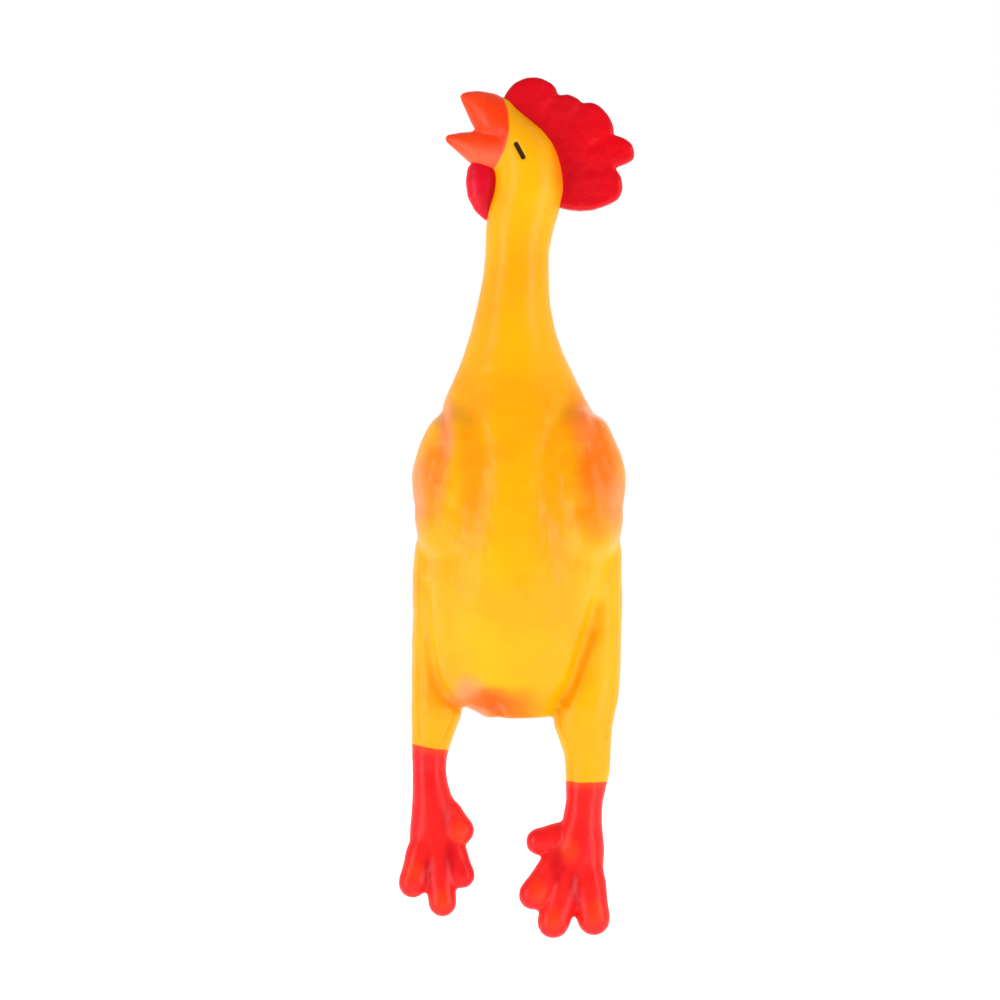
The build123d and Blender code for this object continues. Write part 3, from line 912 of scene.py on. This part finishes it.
raised = [part for part in swept["geom"] if isinstance(part, bmesh.types.BMVert)]
bmesh.ops.translate(fin, verts=raised, vec=(0, 2 * comb_half * mm, 0))
comb_skin = blended(fin, 1.0 * mm)
smooth(comb_skin, comb_skin.verts, 9)
comb_skin.normal_update()
furrows = [
    [(23.5, 102), (18, 92)],
    [(38, 97.6), (32, 86)],
    [(55.6, 77.5), (42, 72)],
    [(56.6, 60), (42, 58)],
]
furrows = [[Vector(point) for point in path] for path in furrows]
for vert in comb_skin.verts:
    place = vert.co / mm
    spot = Vector((place.x, place.z))
    dent = sum(0.5 * math.exp(-((away(spot, path) / 3.0) ** 2)) for path in furrows)
    dent += 0.35 * noise.noise(place / 5) - 0.55
    vert.co -= vert.normal * dent * mm
smooth(comb_skin, comb_skin.verts, 1)

comb_red = (0.72, 0.0, 0.006)
comb_dark = (0.52, 0.0, 0.01)
comb_latex, tree, group, shader = latex("red_comb_latex", 0.5, 0.0, 0.7)
cloudy = add(
    tree, "ShaderNodeMapRange", {0: group.outputs["Cloud"], 1: 0.4, 2: 0.7, 3: 0.0, 4: 0.7}
)
colour = tint(tree, cloudy.outputs[0], comb_red, comb_dark)
# The rounded edge of the fin, where it turns sideways, is painted a darker red: painted shade.
here = add(tree, "ShaderNodeTexCoord", {}).outputs["Object"]
axes = add(tree, "ShaderNodeSeparateXYZ", {0: here})
sideways = add(tree, "ShaderNodeMath", {0: axes.outputs["Y"]}, operation="ABSOLUTE")
rim = add(
    tree, "ShaderNodeMapRange",
    {0: sideways.outputs[0], 1: 4.0 * mm, 2: 1.5 * mm, 3: 0.0, 4: 0.6},
    interpolation_type="SMOOTHSTEP",
)
colour = tint(tree, rim.outputs[0], colour, (0.25, 0.0, 0.02))
tree.links.new(colour, shader.inputs["Base Color"])


def whole_piece(name, form, material):
    """Makes a closed lump an object."""
    mesh = bpy.data.meshes.new(name)
    form.to_mesh(mesh)
    form.free()
    mesh.polygons.foreach_set("use_smooth", [True] * len(mesh.polygons))
    mesh.materials.append(material)
    piece = bpy.data.objects.new(name, mesh)
    bpy.context.scene.collection.objects.link(piece)
    return piece


comb = whole_piece("lobed_comb", comb_skin, comb_latex)
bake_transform(comb)
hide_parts("comb_root", "comb_flex", "comb_fin")

drop = bmesh.new()
wattle_ovals = [
    ((-21.5, 0, 66), 4, 4.5),
    ((-20.6, 0, 60), 8.9, 6.5),
    ((-20.6, 0, 52), 9.8, 7.8),
    ((-20.6, 0, 44), 8.8, 7.4),
    ((-18.9, 0, 36.5), 6.4, 5.8),
    ((-16.5, 0, 30.9), 3.4, 3.4),
    ((-15.5, 0, 28.3), 1.2, 1.4),
]
roll(drop, wattle_ovals)
drop_skin = blended(drop, 1.0 * mm)
smooth(drop_skin, drop_skin.verts, 4)
wattle_latex, tree, group, shader = latex("red_wattle_latex", 0.4, 0.3, 0.6)
cloudy = add(
    tree, "ShaderNodeMapRange", {0: group.outputs["Cloud"], 1: 0.35, 2: 0.7, 3: 0.0, 4: 0.8}
)
colour = tint(tree, cloudy.outputs[0], (0.76, 0.0, 0.022), (0.6, 0.0, 0.014))
tree.links.new(colour, shader.inputs["Base Color"])
wattle = whole_piece("hanging_wattle", drop_skin, wattle_latex)
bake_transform(wattle)
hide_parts("wattle_flex", "wattle")

# ---------------------------------------------------------------- squeaker
# A press-in squeaker: a milky plastic cup and grille, and a thin brass reed under a clamp.
plastic = bpy.data.materials.new("milky_plastic")
plastic.use_nodes = True
tree = plastic.node_tree
shader = tree.nodes["Principled BSDF"]
here = add(tree, "ShaderNodeTexCoord", {}).outputs["Object"]
swirl = add(tree, "ShaderNodeTexNoise", {"Vector": here, "Scale": 160, "Detail": 4})
tree.links.new(
    tint(tree, swirl.outputs[0], (0.82, 0.82, 0.78), (0.68, 0.69, 0.66)),
    shader.inputs["Base Color"],
)
worn = add(tree, "ShaderNodeMapRange", {0: swirl.outputs[0], 1: 0.3, 2: 0.7, 3: 0.3, 4: 0.5})
tree.links.new(worn.outputs[0], shader.inputs["Roughness"])
fine = add(tree, "ShaderNodeBump", {"Height": swirl.outputs[0], "Distance": 0.00005})
tree.links.new(fine.outputs[0], shader.inputs["Normal"])

brass = bpy.data.materials.new("rolled_brass")
brass.use_nodes = True
tree = brass.node_tree
shader = tree.nodes["Principled BSDF"]
here = add(tree, "ShaderNodeTexCoord", {}).outputs["Object"]
rolled = add(tree, "ShaderNodeMapping", {"Vector": here, "Scale": (1, 12, 1)})
lines = add(tree, "ShaderNodeTexNoise", {"Vector": rolled.outputs[0], "Scale": 500, "Detail": 4})
tree.links.new(
    tint(tree, lines.outputs[0], (0.78, 0.55, 0.22), (0.6, 0.4, 0.14)), shader.inputs["Base Color"]
)
worn = add(tree, "ShaderNodeMapRange", {0: lines.outputs[0], 1: 0.3, 2: 0.7, 3: 0.2, 4: 0.4})
tree.links.new(worn.outputs[0], shader.inputs["Roughness"])
shader.inputs["Metallic"].default_value = 1.0

for part in ("cup", "plate", "clamp", "grille", "reed"):
    carried = bpy.data.objects[f"squeaker_{part}"]
    carried.data.materials.clear()
    carried.data.materials.append(brass if part == "reed" else plastic)

# ---------------------------------------------------------------- studio
# A flat white card in a small studio, with tall soft boxes at both sides and a smaller one behind.
# The chicken hangs a little above the card.
middle = (cad_low + cad_high) / 2
field, front_plane = 0.5814, -0.015
lens, sensor = 100.0, 36.0
camera = bpy.data.objects.new("camera", bpy.data.cameras.new("camera"))
camera.data.lens, camera.data.sensor_width = lens, sensor
camera.location = (-0.0102, front_plane - field * lens / sensor, -0.1349)
camera.rotation_euler = (math.radians(90), 0, 0)
bpy.context.scene.collection.objects.link(camera)
bpy.context.scene.camera = camera
bpy.context.scene.view_settings.view_transform = "Standard"

world = bpy.data.worlds.new("white_studio")
world.use_nodes = True
tree = world.node_tree
sky = tree.nodes["Background"]
facing = add(tree, "ShaderNodeTexCoord", {}).outputs["Generated"]
ahead = add(tree, "ShaderNodeSeparateXYZ", {0: facing}).outputs["Y"]
glow = add(tree, "ShaderNodeMapRange", {0: ahead, 1: -0.6, 2: 0.3, 3: 0.25, 4: 0.9})
seen = add(tree, "ShaderNodeLightPath", {}).outputs["Is Camera Ray"]
strength = add(tree, "ShaderNodeMath", {0: glow.outputs[0], 1: seen}, operation="MAXIMUM")
tree.links.new(strength.outputs[0], sky.inputs["Strength"])
sky.inputs["Color"].default_value = (1, 1, 1, 1)
bpy.context.scene.world = world


def soft_box(name, place, size, power):
    """A flat light that faces the middle of the chicken."""
    light = bpy.data.lights.new(name, "AREA")
    light.shape, light.size, light.size_y = "RECTANGLE", size[0], size[1]
    light.energy = power
    lamp = bpy.data.objects.new(name, light)
    lamp.location = Vector(place)
    lamp.rotation_euler = (middle - lamp.location).to_track_quat("-Z", "Y").to_euler()
    bpy.context.scene.collection.objects.link(lamp)


soft_box("box_left", (-1.0, -0.7, -0.1), (0.5, 1.2), 8.4)
soft_box("box_right", (1.0, -0.7, -0.1), (0.5, 1.2), 8.4)
soft_box("box_behind", (0.3, 1.0, 0.5), (0.6, 0.6), 1.5)

card = bmesh.new()
bmesh.ops.create_grid(card, x_segments=1, y_segments=1, size=3.0)
bmesh.ops.translate(card, verts=card.verts, vec=(0, 0, cad_low.z - 0.12))
card_paint = bpy.data.materials.new("white_card")
card_paint.use_nodes = True
shader = card_paint.node_tree.nodes["Principled BSDF"]
shader.inputs["Base Color"].default_value = (0.9, 0.9, 0.9, 1)
shader.inputs["Roughness"].default_value = 1.0
shader.inputs["Emission Color"].default_value = (1, 1, 1, 1)
shader.inputs["Emission Strength"].default_value = 0.6
floor = whole_piece("card", card, card_paint)
floor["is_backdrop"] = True

low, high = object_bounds()
